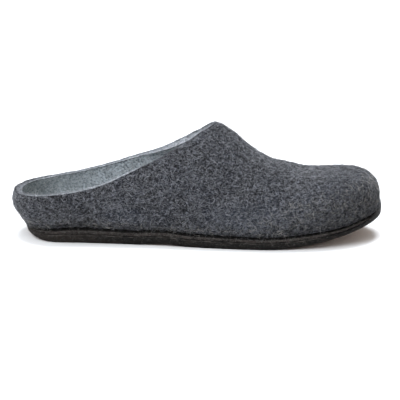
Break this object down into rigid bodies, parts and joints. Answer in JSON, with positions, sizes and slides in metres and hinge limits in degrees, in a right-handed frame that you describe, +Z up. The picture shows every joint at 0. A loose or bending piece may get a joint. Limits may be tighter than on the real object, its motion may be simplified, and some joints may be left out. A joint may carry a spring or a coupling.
{
  "type": "felt slipper",
  "caption": "Right-foot felt slipper: moulded wool upper with a long open collar and low heel cup, felt midsole and insole, thin leather outsole turned up at the toe.",
  "frame": {"origin": "middle of the bounding box in plan, on the floor that the tread stands on", "axes": "+X from heel to toe, +Y to the medial (inner) side of the right foot, +Z up"},
  "size_m": [0.285, 0.0998, 0.0879],
  "materials": {
    "upper_felt": "matt grey melange wool felt with pale and dark fibres",
    "midsole_felt": "dense dark grey felt",
    "outsole_leather": "very dark brown leather with a dressed edge and a roughed tread",
    "insole_felt": "light blue-grey wool felt"
  },
  "bodies": {
    "root": {"upper": "upper_felt", "midsole": "midsole_felt", "outsole": "outsole_leather", "insole": "insole_felt"}
  },
  "joints": []
}
